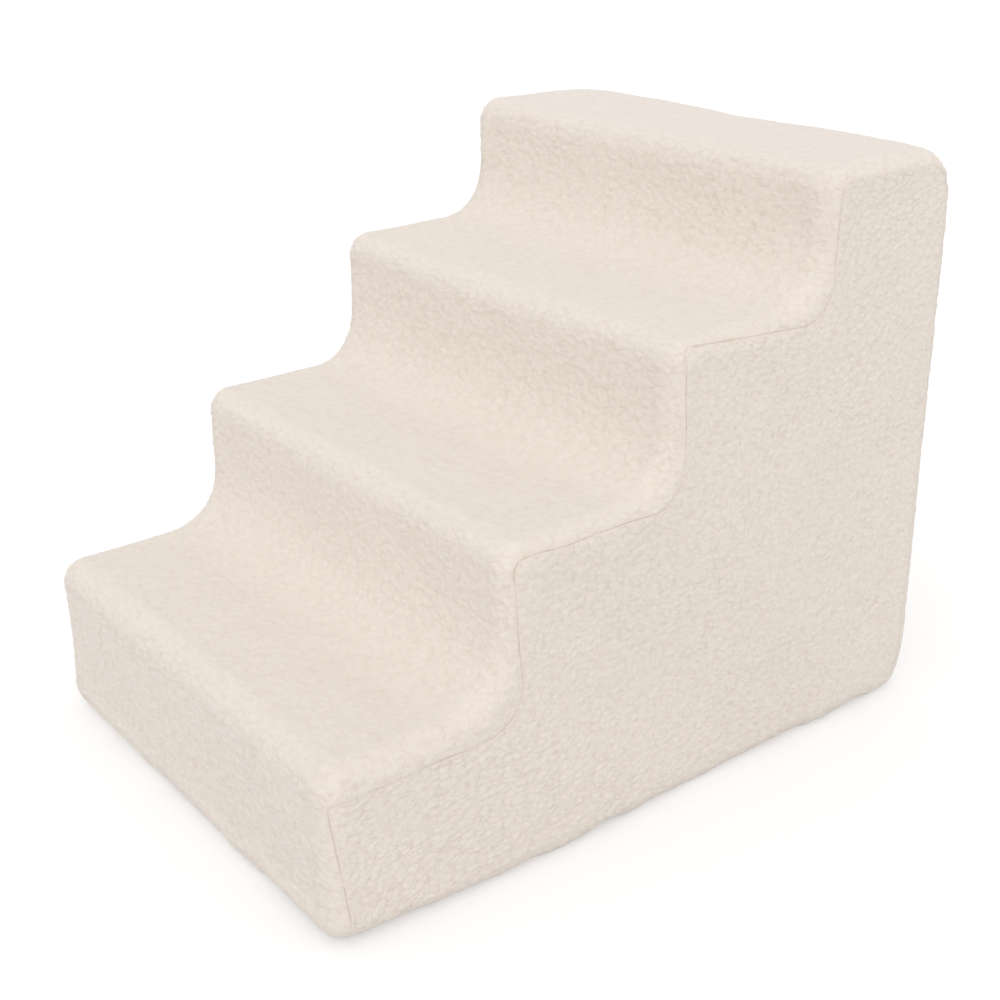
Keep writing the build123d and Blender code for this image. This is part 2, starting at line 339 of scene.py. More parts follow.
def clumps(where, size, seed):
    """Rounded clumps that meet in creases: one less the squared distance to the nearest of the
    random points, one to a cell, and how much further off the second nearest is."""
    lattice = where / size
    cell = np.floor(lattice).astype(np.int64)
    nearest = np.full(where.shape[:-1], 9.0)
    second = nearest.copy()
    for shift in np.ndindex(3, 3, 3):
        other = cell + np.array(shift) - 1
        number = scramble(other, seed)
        heart = np.stack([(number >> bits) & 1023 for bits in (0, 10, 20)], -1) / 1023
        gap = np.sum((other + heart - lattice) ** 2, -1)
        second = np.minimum(second, np.maximum(gap, nearest))
        nearest = np.minimum(nearest, gap)
    return 1 - np.clip(nearest, 0, 1), np.sqrt(second) - np.sqrt(nearest)


def pile(where, facing):
    """Height of the pile above the panel in metres, how far up the curls a point lies, from 0 in a
    crease to 1 on top, and how high the pile stands: lower where it is stepped on. A curl is a
    share of its dome plus a share of 1 - exp(-distance from its edge)."""
    warp = np.stack([soft_noise(where, WARP_SIZE, 11 + axis) for axis in range(3)], -1)
    bent = where + WARP_REACH * warp
    dome, edge = clumps(bent / CURL_STRETCH, CURL_SIZE, 21)
    tuft, _ = clumps(where + 0.5 * WARP_REACH * warp[..., ::-1], TUFT_SIZE, 31)
    top = CREST_SHARE * dome + EDGE_SHARE * (1 - np.exp(-edge / EDGE_FALL))
    stand = facing**2 @ np.array([SIDE_SHARE, RISER_SHARE, TREAD_SHARE])
    uneven = 1 + UNEVEN_SHARE * soft_noise(where, UNEVEN_SIZE, 41)
    relief_height = CURL_HEIGHT * (top - CURL_LEVEL) + TUFT_HEIGHT * (tuft - TUFT_LEVEL)
    # The second value is the mask for the painted shade in the creases and the painted light on the
    # curl tops.
    return stand * uneven * relief_height, np.clip(0.7 * top + 0.3 * tuft, 0, 1), stand


def bulges(where):
    """Slow swells and hollows of the stuffing, in metres."""
    return sum(height * soft_noise(where, size, 51 + i) for i, (size, height) in enumerate(BULGES))


ROLL_RADIUS = 1.9 * MM
ROLL_DEPTH = 1.5 * MM
FREE_FROM = 1.6 * ROLL_RADIUS
SPACING = 1.35 * MM
INNER_POINTS = 18
EDGE_STEPS = np.array([0, 0.05, 0.15, 0.3, 0.5, 0.75, 1.05, 1.45]) * ROLL_RADIUS
FLOOR_GAP = 0.3 * MM
SPILL = 2.2 * MM
SPILL_HEIGHT = 12 * MM
HEM_LIFT = 2.2 * MM
SETTLE = 0.2 * MM
SWELL_START = 14 * MM
CORNER_PULL = 4.5 * MM
CORNER_REACH = 26 * MM
COVERED_FROM_TOP = 20 * MM
COVERED_FROM_BACK = 24 * MM
COVERED_ABOVE = 70 * MM
COVERED_SHARE = 0.85
ROLL_PATCH = 12 * MM
OPEN_MEAN, OPEN_SPREAD, OPEN_LEAST = 0.55, 0.55, 0.2
SPILL_MEAN, SPILL_SPREAD = 0.5, 0.9
SPILL_PATCH = 22 * MM
HEM_PATCH = 14 * MM
BELLY = 5.5 * MM
BELLY_MIDDLE = -100 * MM
BELLY_HALF_LENGTH = 180 * MM
BELLY_HEIGHT = 60 * MM


def covered(where):
    """1 along the top and back edges, where the pile closes over the side seam, and 0 elsewhere."""
    near_top = eased((where[..., 2] - tread_levels[-1] + 2 * COVERED_FROM_TOP) / COVERED_FROM_TOP)
    near_back = eased((where[..., 1] - half_depth + 2 * COVERED_FROM_BACK) / COVERED_FROM_BACK)
    return np.maximum(near_top, near_back) * eased(where[..., 2] / COVERED_ABOVE - 0.5)


def rolled(distance, where):
    """How far the turned-in edge lies below the panel: a quarter round beside the seam, shallower
    here and there, and nearly closed where the pile covers the seam."""
    left = np.clip(ROLL_RADIUS - distance, 0, ROLL_RADIUS) / ROLL_RADIUS
    open_share = OPEN_MEAN + OPEN_SPREAD * soft_noise(where, ROLL_PATCH, 71)
    open_share = np.clip(open_share, OPEN_LEAST, 1)
    open_share = open_share * (1 - COVERED_SHARE * covered(where))
    return ROLL_DEPTH * open_share * (1 - np.sqrt(1 - left**2))


def belly(where):
    """How far a side bows outward near the floor: 1 less the square of the place along it, fading
    with height and toward the edge of the base, where the panels stay joined."""
    along = np.clip((where[..., 1] - BELLY_MIDDLE) / BELLY_HALF_LENGTH, -1, 1)
    outward = eased((np.abs(where[..., 0]) - base_high.x) / (half_width - base_high.x))
    return BELLY * (1 - along**2) ** 2 * np.exp(-((where[..., 2] / BELLY_HEIGHT) ** 2)) * outward


def corner_pull(where):
    """How far the skin is drawn in round the upper and lower back corners."""
    level = np.minimum(where[..., 2], tread_levels[-1] - where[..., 2])
    gap = np.stack([np.abs(where[..., 0]) - half_width, where[..., 1] - half_depth, level], -1)
    return CORNER_PULL * np.exp(-np.sum((gap / CORNER_REACH) ** 2, axis=-1))


def fleece_skin(where, facing, from_seam, swell, dip=0):
    """Outer skin of a panel: its base surface plus a lift along its normal (swells, curls and
    spill, less the rolled seam, the dip and the pulled corners), the simulated move and the belly.
    At the floor the pile spills outward, and its lower edge lifts here and there."""
    height, top, stand = pile(where, facing)
    near_floor = np.exp(-((where[..., 2] / SPILL_HEIGHT) ** 2))
    uneven = SPILL_MEAN + SPILL_SPREAD * soft_noise(where, SPILL_PATCH, 81)
    spill = SPILL * near_floor * uneven
    free = eased(from_seam / FREE_FROM)
    filled = eased(from_seam / SWELL_START) * (1 - near_floor)
    lift = (bulges(where) - SETTLE) * filled + height * (0.35 + 0.65 * free) + spill
    lift -= rolled(from_seam, where) + dip + corner_pull(where)
    skin = where + lift[..., None] * facing + filled[..., None] * swell
    skin[..., 0] += belly(where) * np.sign(where[..., 0])
    ragged = HEM_LIFT * np.clip(soft_noise(where, HEM_PATCH, 91), 0, 1)
    skin[..., 2] = np.maximum(skin[..., 2], FLOOR_GAP + ragged)
    # The curl mask is halved beside the seam, which puts more painted shade into the rolled edge.
    return skin, top * (0.5 + 0.5 * free), stand / SIDE_SHARE


# The side seam in the side view. A row is a step, with its nosing and then its toe: how far back
# from the riser and down from the tread the seam turns, and how tightly.

FOOT_INSET = 14 * MM
SEAM_TURNS = MM * np.array(
    [
        [(5, 21, 5), (15, 18, 26)],
        [(8, 10, 9), (13, 10, 26)],
        [(12, 6, 5), (8, 12, 26)],
        [(13, 12, 8), (-12, 12, 20)],
    ]
)
SEAM_WANDER = 0.7 * MM
WANDER_LENGTH = 26 * MM


def seam_corners():
    """Corners of the side seam as (y, z, radius), from foot to foot."""
    outer = stair_corners()[2:-2]
    inset, drop, radius = SEAM_TURNS.reshape(-1, 3).T
    inner = np.stack([outer[:, 0] + inset, outer[:, 1] - drop, radius], -1)
    foot = half_depth - FOOT_INSET
    return np.vstack([[-foot, FOOT_RADIUS, 0], inner, [foot, FOOT_RADIUS, 0]])


SEAM = path_runs(seam_corners())
FIRST_RUN = 2


def seam_point(s):
    """Place of the side seam in the side view for outline length s. Between the feet it keeps
    pace with the outline run by run, and beside a foot it runs straight down."""
    run, share = run_and_share(s)
    point, normal = on_path(OUTLINE, run, share)
    seam_run = np.clip(run - FIRST_RUN, 0, len(SEAM) - 1)
    on_seam, across_seam = on_path(SEAM, seam_run, share)
    place = np.concatenate([0 * on_seam[..., :1], on_seam], -1)
    wander = SEAM_WANDER * soft_noise(place, WANDER_LENGTH, 61)
    on_seam = on_seam + wander[..., None] * across_seam
    forward = np.maximum(np.abs(normal[..., 0]), 1e-6)
    reach = np.maximum(FOOT_RADIUS - (FOOT_RADIUS - FOOT_INSET) / forward, 0)
    beside_foot = point - reach[..., None] * normal
    at_foot = (run < FIRST_RUN) | (run >= len(OUTLINE) - FIRST_RUN)
    return np.where(at_foot[..., None], beside_foot, on_seam)


SEAM_SAMPLES = seam_point(np.linspace(0, OUTLINE_LENGTH, 3000))


def from_edge(length, spacing):
    """Distances from an edge inward to length: close together on the rolled edge, then even."""
    count = max(int((length - EDGE_STEPS[-1]) / spacing), 2)
    return np.concatenate([EDGE_STEPS[:-1], np.linspace(EDGE_STEPS[-1], length, count + 1)])


def placed(name, data):
    """An object of the scene, at the origin."""
    piece = bpy.data.objects.new(name, data)
    bpy.context.scene.collection.objects.link(piece)
    return piece


def mesh_piece(name, points, faces):
    """A mesh object with smooth faces from an array of points and a list of faces."""
    mesh = bpy.data.meshes.new(name)
    mesh.from_pydata(points.reshape(-1, 3), [], faces)
    mesh.polygons.foreach_set("use_smooth", np.ones(len(mesh.polygons), bool))
    mesh.update()
    return placed(name, mesh)


def grid_faces(rows, columns, ring=True):
    """Faces of a grid from row to row. In a ring the last column is joined to the first."""
    count = columns if ring else columns - 1
    row, column = np.meshgrid(np.arange(rows - 1), np.arange(count), indexing="ij")
    a = row * columns + column
    b = row * columns + (column + 1) % columns
    return np.stack([a, b, b + columns, a + columns], -1).reshape(-1, 4)


def carry_masks(piece, outer, **masks):
    """Keep a number on each point of the outer skin, for the material to read."""
    for name, values in masks.items():
        attribute = piece.data.attributes.new(name, "FLOAT", "POINT")
        values = np.where(outer[None, :], values, 0).astype(np.float32)
        attribute.data.foreach_set("value", values.ravel())


def strip_body(s, share):
    """Point and normal of the stuffed body on the strip, and the distance to its side seam, at
    outline length s and a cross share from -1 to 1. The middle runs straight across, then the
    strip bends over the rim along the line from the outline to the seam: at an angle t of its
    bend b it has covered (1 - cos(t)) / (1 - cos(b)) of that line. Under a foot it narrows to the
    width of the base."""
    point, normal = on_path(OUTLINE, *run_and_share(s))
    seam = seam_point(s)
    _, depth, _ = shell(seam, normal)
    bend = np.arccos(1 - np.minimum(depth, RIM_RADIUS) / RIM_RADIUS)[:, None]
    side_length = RIM_RADIUS * bend + np.maximum(depth - RIM_RADIUS, 0)[:, None]
    half = rim_start + side_length
    c = np.abs(share) * half
    past = np.clip((c - rim_start) / np.maximum(side_length, 1e-9), 0, 1)
    weight = (1 - np.cos(past * bend)) / np.maximum(1 - np.cos(bend), 1e-9)
    yz = point[:, None, :] + weight[..., None] * (seam - point)[:, None, :]
    across = np.broadcast_to(normal[:, None, :], yz.shape)
    side_x, _, side_facing = shell(yz, across)
    to_base = np.maximum(base_low.y - point[:, 0], point[:, 0] - base_high.y)
    inward = np.clip(to_base / (half_depth - FOOT_RADIUS - base_high.y), 0, 1)
    under = normal[:, 1] < -0.999
    width = base_high.x + inward * (rim_start - base_high.x)
    narrow = np.where(under, width, rim_start) / rim_start
    on_side = (past > 0) & (side_length > 0)
    x = np.where(on_side, side_x, np.minimum(c, rim_start) * narrow[:, None])
    flat_facing = np.concatenate([0 * c[..., None], across], -1)
    facing = np.where(on_side[..., None], side_facing, flat_facing)
    sign = np.where(share < 0, -1.0, 1.0)
    facing[..., 0] *= sign
    return np.concatenate([(x * sign)[..., None], yz], -1), facing, half * (1 - np.abs(share))


# Set of the panels: Blender's Cloth on a coarse copy of a panel, held along its seams and in the
# toes of the steps, under an even pressure. It draws the strip in between its seams by about
# 2 mm, and leaves the flat sides where they are.

SWELL_SPACING = 10 * MM
SWELL_PRESSURE = 4
SWELL_FRAMES = 20
SWELL_CAP = 2.4 * MM


def swelled(where, held, turned_over):
    """How far each point of an open grid moves under pressure, eased off to the cap: cap times
    tanh(move / cap). The held points stay."""
    faces = grid_faces(*where.shape[:2], ring=False)
    sheet = mesh_piece("swelling", where, (faces[:, ::-1] if turned_over else faces).tolist())
    sheet.vertex_groups.new(name="held").add(np.flatnonzero(held).tolist(), 1, "REPLACE")
    cloth = sheet.modifiers.new("cloth", "CLOTH")
    cloth.settings.vertex_group_mass = "held"
    cloth.settings.use_pressure = True
    cloth.settings.uniform_pressure_force = SWELL_PRESSURE
    cloth.settings.effector_weights.gravity = 0
    cloth.point_cache.frame_start = 1
    cloth.point_cache.frame_end = SWELL_FRAMES
    for number in range(1, SWELL_FRAMES + 1):
        bpy.context.scene.frame_set(number)
    settled = sheet.evaluated_get(bpy.context.evaluated_depsgraph_get()).data
    after = np.empty(where.size)
    settled.vertices.foreach_get("co", after)
    shift = after.reshape(where.shape) - where
    bpy.data.objects.remove(sheet)
    bpy.context.scene.frame_set(1)
    reach = np.linalg.norm(shift, axis=-1, keepdims=True)
    return np.round(shift * SWELL_CAP * np.tanh(reach / SWELL_CAP) / np.maximum(reach, 1e-9), 6)


def spline_weight(t):
    """Cubic B-spline of width 4."""
    t = np.abs(t)
    return np.where(t < 1, 2 / 3 - t**2 + t**3 / 2, np.clip(2 - t, 0, None) ** 3 / 6)


def carried(values, rows, columns, u, v):
    """Values kept on an even grid, read at places (u, v) through a cubic B-spline."""
    a = (u - rows[0]) / (rows[1] - rows[0])
    b = (v - columns[0]) / (columns[1] - columns[0])
    total = np.zeros((*np.broadcast_shapes(a.shape, b.shape), 3))
    for i, j in np.ndindex(4, 4):
        row = np.floor(a).astype(int) + i - 1
        column = np.floor(b).astype(int) + j - 1
        weight = spline_weight(a - row) * spline_weight(b - column)
        inside = values[np.clip(row, 0, len(rows) - 1), np.clip(column, 0, len(columns) - 1)]
        total += weight[..., None] * inside
    return total


STRIP_HALF = rim_start + RIM_RADIUS * math.pi / 2
zip_line = (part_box("zip_tape_lower")[0].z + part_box("zip_tape_upper")[1].z) / 2
back_foot = OUTLINE_LENGTH - (half_depth - FOOT_RADIUS - base_high.y) - FOOT_RADIUS * math.pi / 2
zip_s = back_foot - (zip_line - FOOT_RADIUS)


def swelled_strip():
    """How far the strip moves, on even steps of outline length and cross share."""
    rows = np.linspace(0, OUTLINE_LENGTH, int(OUTLINE_LENGTH / SWELL_SPACING) + 1)
    columns = np.linspace(-1, 1, int(2 * STRIP_HALF / SWELL_SPACING) + 1)
    where, _, _ = strip_body(rows, np.broadcast_to(columns, (len(rows), len(columns))))
    run, _ = run_and_share(rows)
    in_toe, at_foot = OUTLINE[run, 3] < 0, where[:, 0, 2] < FOOT_RADIUS
    held = in_toe | at_foot | (np.abs(rows - zip_s) < SWELL_SPACING)
    held = held[:, None] | (np.abs(columns) > 0.999)[None, :]
    return rows, columns, swelled(where, held, True)


STRIP_SWELL = swelled_strip()

# The opening for the zip: its lips, and the stitch rows that pull the fleece down onto the tapes.

slot_low, slot_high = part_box("zip_stitching_lower")[0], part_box("zip_stitching_upper")[1]
SLOT_HALF_HEIGHT = 7 * MM
TAPE_TUCK = 8 * MM
SLOT_HALF_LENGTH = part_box("zip_tape_upper")[1].x - TAPE_TUCK
SLOT_END = 5 * MM
SLOT_FADE = 25 * MM
STITCH_PITCH = 4 * MM
STITCH_DIP = 1.3 * MM
STITCH_DIP_WIDTH = 1.3 * MM
TIGHT_SHARE = 0.2
STITCH_INSET = 0.3 * MM
stitch_offset = (slot_high.z - slot_low.z) / 2 - STITCH_INSET


def slot_reach(c):
    """Half the height of the zip opening at cross distance c: full along the zip, closing to
    nothing in a round end."""
    return SLOT_HALF_HEIGHT * (1 - eased((np.abs(c) - SLOT_HALF_LENGTH) / SLOT_END))


def stitch_dip(from_zip, c):
    """Depth of the stitched crease: a rounded valley along each row, deepest at the stitches."""
    valley = np.exp(-(((from_zip - stitch_offset) / STITCH_DIP_WIDTH) ** 2))
    tight = 1 - TIGHT_SHARE + TIGHT_SHARE * np.cos(2 * math.pi * c / STITCH_PITCH)
    return STITCH_DIP * valley * tight * (1 - eased((np.abs(c) - SLOT_HALF_LENGTH) / SLOT_END))


def end_wall(share, outer, first):
    """Faces that close the end of a panel: from each step of the outer skin to the nearest points
    of the backing, whose shares run the other way."""
    column = np.flatnonzero(outer)
    behind = column.size + np.abs(share[outer, None] - share[~outer]).argmin(axis=1)
    walls = np.stack([column[:-1], column[1:], behind[1:], behind[:-1]], -1) + first
    return [list(dict.fromkeys(wall)) for wall in walls.tolist()]


def strip_panel(name, start, end):
    """A closed panel of the strip between two outline lengths, pushed apart round the opening for
    the zip. The outer skin is a fine grid, and the backing behind it a coarse one."""
    inward = from_edge(STRIP_HALF, SPACING)
    across = np.concatenate([inward / STRIP_HALF - 1, 1 - inward[-2::-1] / STRIP_HALF])
    slot_end = (SLOT_HALF_LENGTH + SLOT_END * np.array([0, 0.5, 1])) / STRIP_HALF
    backing = np.sort(np.concatenate([np.linspace(-1, 1, INNER_POINTS), slot_end, -slot_end]))
    share = np.concatenate([across, backing[::-1]])
    outer = np.arange(share.size) < across.size
    low = from_edge((end - start) / 2, SPACING)
    s = np.concatenate([start + low, end - low[-2::-1]])
    where, facing, from_side = strip_body(s, np.broadcast_to(share, (len(s), len(share))))
    c = STRIP_HALF * share[None, :]
    from_zip = np.abs(s - zip_s)[:, None]
    push = slot_reach(c) * (1 - eased(from_zip / SLOT_FADE))
    side = 1 if start + end < 2 * zip_s else -1
    where[..., 2] += side * push
    from_zip = from_zip + push
    from_seam = np.minimum(from_side, from_zip - slot_reach(c))
    rows, columns, moves = STRIP_SWELL
    swell = carried(moves, rows, columns, s[:, None], share[None, :])
    skin, top, stand = fleece_skin(where, facing, from_seam, swell, stitch_dip(from_zip, c))
    points = np.where(outer[None, :, None], skin, where - FLEECE * facing)
    points[..., 2] = np.maximum(points[..., 2], FLOOR_GAP)
    count, columns = points.shape[:2]
    faces = grid_faces(count, columns).tolist()
    faces += [wall[::-1] for wall in end_wall(share, outer, 0)]
    faces += end_wall(share, outer, (count - 1) * columns)
    piece = mesh_piece(name, points, faces)
    carry_masks(piece, outer, curl=top, stand=stand)
    return piece


# The fleece is one cream. The paler top colour is painted light on the curls, and the darker,
# warmer crease colour is painted shade.
FLEECE_LIT_TOP = (0.82, 0.75, 0.682, 1)
FLEECE_SHADED_CREASE = (0.69, 0.585, 0.50, 1)
CREASE_SIZE = 3.7 * MM
CREASE_DRIFT = 3 * MM
CREASE_WIDTH = 0.16
DRIFT_SIZE = 6 * MM
PARTED_SIZE = 5 * MM
FIBRE_SIZE = 0.9 * MM
FIBRE_SHARE = 0.6
PARTED_LOW, PARTED_HIGH = 0.40, 0.66
CURL_SHADE, MEAN_SHADE, CREASE_SHADE, FIBRE_SHADE = 0.5, 0.33, -0.3, 0.2
FLEECE_DEPTH = 0.17 * MM
LIGHT_REACH = 1.5 * MM


def smooth_range(nodes, links, value, low, high):
    """A smooth step from 0 at low to 1 at high."""
    step = nodes.new("ShaderNodeMapRange")
    step.interpolation_type = "SMOOTHSTEP"
    step.inputs["From Min"].default_value = low
    step.inputs["From Max"].default_value = high
    links.new(value, step.inputs["Value"])
    return step.outputs[0]


def fleece_material():
    """Cream pile, with painted light on the tops of the curls and painted shade, darker and warmer,
    in the creases. Fine creases part the pile into tufts: they follow the borders of drifting
    cells, soft noise closes them here and there, and they are faint where the pile lies flat. Over
    them lie a fibre relief and a sheen."""
    material, nodes, links, shader = new_material("sherpa_fleece", 0.92)
    curl, stand = (nodes.new("ShaderNodeAttribute") for _ in range(2))
    curl.attribute_name = "curl"
    stand.attribute_name = "stand"
    bent = nodes.new("ShaderNodeVectorMath")
    bent.operation = "MULTIPLY_ADD"
    links.new(noise_mask(nodes, links, DRIFT_SIZE, 1).outputs["Color"], bent.inputs[0])
    bent.inputs[1].default_value = (CREASE_DRIFT,) * 3
    links.new(object_position(nodes), bent.inputs[2])
    cells = nodes.new("ShaderNodeTexVoronoi")
    cells.feature = "DISTANCE_TO_EDGE"
    cells.inputs["Scale"].default_value = 1 / CREASE_SIZE
    drawn = nodes.new("ShaderNodeVectorMath")
    drawn.operation = "DIVIDE"
    drawn.inputs[1].default_value = CURL_STRETCH
    links.new(bent.outputs[0], drawn.inputs[0])
    links.new(drawn.outputs[0], cells.inputs["Vector"])
    border = smooth_range(nodes, links, cells.outputs["Distance"], CREASE_WIDTH, 0)
    parted = noise_mask(nodes, links, PARTED_SIZE, 1).outputs["Fac"]
    parted = smooth_range(nodes, links, parted, PARTED_LOW, PARTED_HIGH)
    crease = worked_out(nodes, links, "MULTIPLY", border, parted)
    crease = worked_out(nodes, links, "MULTIPLY", crease, stand.outputs["Fac"])
    fibres = noise_mask(nodes, links, FIBRE_SIZE, 3).outputs["Fac"]
    tuft = MEAN_SHADE
    shades = ((curl.outputs["Fac"], CURL_SHADE), (crease, CREASE_SHADE), (fibres, FIBRE_SHADE))
    for mask, share in shades:
        tuft = worked_out(nodes, links, "MULTIPLY_ADD", mask, share, tuft)
    # The colour runs from painted shade in the creases to painted light on the curl tops, with the
    # fibres' own uneven tone.
    two_tone(nodes, links, tuft, FLEECE_SHADED_CREASE, FLEECE_LIT_TOP, shader)
    raised = worked_out(nodes, links, "MULTIPLY", fibres, FIBRE_SHARE)
    height = worked_out(nodes, links, "MULTIPLY_ADD", crease, -1.0, raised)
    relief(nodes, links, height, FLEECE_DEPTH, shader)
    shader.inputs["Sheen Weight"].default_value = 0.25
    shader.inputs["Sheen Roughness"].default_value = 0.6
    shader.inputs["Subsurface Weight"].default_value = 0.15
    shader.inputs["Subsurface Radius"].default_value = (1, 0.8, 0.6)
    shader.inputs["Subsurface Scale"].default_value = LIGHT_REACH
    shader.inputs["Specular IOR Level"].default_value = 0.2
    return material


FLEECE_FINISH = fleece_material()


def finish_piece(piece, body, nodes, material):
    """Give a new piece its finish and its body, and hide the nodes that it stands for."""
    piece.data.materials.append(material)
    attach(piece, body)
    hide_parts(*nodes)


def finish_fleece(piece, node):
    """A fleece panel, which foam fills tightly."""
    finish_piece(piece, "stairs", [node], FLEECE_FINISH)


finish_fleece(strip_panel("tread_panel_fleece", 0, zip_s), "tread_panel")


# Back hem.
# The last piece of the strip, below the zip: sewn to the lower tape, turned under at the floor,
# and sewn to the back edge of the base.

finish_fleece(strip_panel("back_hem_fleece", zip_s, OUTLINE_LENGTH), "back_hem_panel")


# Side panels.
# A stair-shaped piece of the same fleece closes each side. It is tucked under at the floor, and
# swells a little away from its seam.

SIDE_COLUMN = 0.95 * MM
SIDE_ROWS = 215
SIDE_ROW_LENGTH = 150 * MM
WELD = 0.001 * MM
UNROLLED_FLOOR = RIM_RADIUS * (1 - math.pi / 2)
UNROLLED_BASE = UNROLLED_FLOOR - (rim_start - base_high.x)


def nearest_on_line(line, where):
    """Nearest point of a line of short pieces to each point, worked out in slices."""
    flat = where.reshape(-1, 2)
    start, step = line[:-1], np.diff(line, axis=0)
    square = np.maximum(np.sum(step**2, -1), 1e-18)
    found = np.empty_like(flat)
    for at in range(0, len(flat), 8192):
        part = flat[at : at + 8192, None, :]
        share = np.clip(np.sum((part - start) * step, -1) / square, 0, 1)
        close = start + share[..., None] * step
        pick = np.argmin(np.sum((part - close) ** 2, -1), axis=1)
        found[at : at + 8192] = close[np.arange(len(pick)), pick]
    return found.reshape(where.shape)


def side_body(y, v, side):
    """Point and normal of a side panel at y and at unrolled height v: the body's shell down to the
    rim radius, the same shell where z = radius * (1 - sin(turn)) below it, then flat under."""
    turn = np.clip((RIM_RADIUS - v) / RIM_RADIUS, 0, math.pi / 2)
    z = np.maximum(v, RIM_RADIUS) - RIM_RADIUS * np.sin(turn)
    corner = np.clip(np.abs(y) - (half_depth - FOOT_RADIUS), 0, FOOT_RADIUS)
    z = np.maximum(z, FOOT_RADIUS - np.sqrt(FOOT_RADIUS**2 - corner**2))
    x, _, facing = shell(np.stack([y, z], -1), DOWN)
    x = x - np.maximum(UNROLLED_FLOOR - v, 0)
    facing[..., 0] *= side
    return np.stack([side * x, y, z], -1), facing


def swelled_side():
    """How far a side panel moves, on an even grid over its box. Points near or past its seam are
    held, and so is its foot."""
    rows = np.linspace(-half_depth, half_depth, int(2 * half_depth / SWELL_SPACING) + 1)
    columns = np.linspace(0, tread_levels[-1], int(tread_levels[-1] / SWELL_SPACING) + 1)
    y, v = np.meshgrid(rows, columns, indexing="ij")
    where, _ = side_body(y, v, 1)
    spot = np.stack([y, v], -1)
    from_seam = np.linalg.norm(nearest_on_line(SEAM_SAMPLES, spot) - spot, axis=-1)
    seam_height = np.interp(rows, SEAM_SAMPLES[:, 0], SEAM_SAMPLES[:, 1])
    held = (from_seam < SWELL_SPACING) | (v > seam_height[:, None]) | (v < SWELL_SPACING)
    return rows, columns, swelled(where, held, False)


SIDE_SWELL = swelled_side()


def side_panel(name, side):
    """A closed side panel. Its columns are slanting lines, each from the bottom or back edge up and
    forward to the stair line, which it crosses once. The backing is a coarse copy one fleece
    thickness in. At both ends the columns run out to a point, where their points are joined."""
    seam = SEAM_SAMPLES[SEAM_SAMPLES[:, 1] > RIM_RADIUS]
    front, back = seam[0], seam[-1]
    seam = np.vstack([[front[0], UNROLLED_BASE], seam, [back[0], UNROLLED_BASE]])
    slant = (seam[:, 0] + seam[:, 1]) / math.sqrt(2)
    crest = int(np.argmax(slant))
    slant[: crest + 1] = np.maximum.accumulate(slant[: crest + 1])
    q = np.linspace(slant[0], slant[crest], int((slant[crest] - slant[0]) / SIDE_COLUMN))
    low_line = np.vstack([seam[:1], seam[:crest - 1:-1]])
    low_slant = np.maximum.accumulate((low_line[:, 0] + low_line[:, 1]) / math.sqrt(2))
    top_y, top_v = (np.interp(q, slant[: crest + 1], seam[: crest + 1, axis]) for axis in range(2))
    low_y, low_v = (np.interp(q, low_slant, low_line[:, axis]) for axis in range(2))
    edge = EDGE_STEPS[1:-1] / SIDE_ROW_LENGTH
    share = np.sort(np.concatenate([np.linspace(0, 1, SIDE_ROWS), edge, 1 - edge]))
    outer = np.arange(share.size + INNER_POINTS) < share.size
    share = np.concatenate([share, np.linspace(1, 0, INNER_POINTS)])
    y = low_y[:, None] + (top_y - low_y)[:, None] * share[None, :]
    v = low_v[:, None] + (top_v - low_v)[:, None] * share[None, :]
    where, facing = side_body(y, v, side)
    spot = np.stack([y, v], -1)
    from_seam = np.linalg.norm(nearest_on_line(seam[::4], spot) - spot, axis=-1)
    rows, columns, moves = SIDE_SWELL
    swell = carried(moves, rows, columns, y, v) * np.array([side, 1, 1])
    skin, top, stand = fleece_skin(where, facing, from_seam, swell)
    points = np.where(outer[None, :, None], skin, where - FLEECE * facing)
    points[..., 2] = np.maximum(points[..., 2], FLOOR_GAP)
    faces = grid_faces(*points.shape[:2])
    faces = faces[:, ::-1] if side > 0 else faces
    piece = mesh_piece(name, points, faces.tolist())
    carry_masks(piece, outer, curl=top, stand=stand)
    joined = bmesh.new()
    joined.from_mesh(piece.data)
    bmesh.ops.remove_doubles(joined, verts=joined.verts, dist=WELD)
    bmesh.ops.holes_fill(joined, edges=joined.edges, sides=8)
    joined.to_mesh(piece.data)
    joined.free()
    return piece


for name, side in (("right", 1), ("left", -1)):
    finish_fleece(side_panel(f"side_panel_{name}_fleece", side), f"side_panel_{name}")


# Side seam threads.
# A cream polyester thread closes each side seam from foot to foot. It is pulled down into the
# pile, and shows between the two rolled edges as a fine line of stitches.

THREAD_RADIUS = 0.45 * MM
THREAD_STEP = 0.7 * MM
THREAD_SIDES = 6
SIDE_THREAD_DEPTH = 1.5 * MM
HIDDEN_DEPTH = 1.5 * MM
SIDE_STITCH = 3.2 * MM
THREAD_START = 4 * MM
PLY_SIZE = 3.2 * MM
PLY_DEPTH = 0.1 * MM
THREAD_COLOUR = (0.78, 0.70, 0.61, 1)
THREAD_SHADE = (0.58, 0.50, 0.42, 1)


def even_steps(line, step):
    """A line's points spaced evenly along it, and how far along each one lies."""
    lengths = np.concatenate([[0], np.cumsum(np.linalg.norm(np.diff(line, axis=0), axis=1))])
    along = np.linspace(0, lengths[-1], int(lengths[-1] / step) + 1)
    return np.stack([np.interp(along, lengths, line[:, axis]) for axis in range(3)], -1), along


def capped_faces(rows, columns):
    """Faces of a stack of rings: its wall, and one face over each end."""
    first = np.arange(columns)
    last = first + (rows - 1) * columns
    return grid_faces(rows, columns).tolist() + [first[::-1].tolist(), last.tolist()]


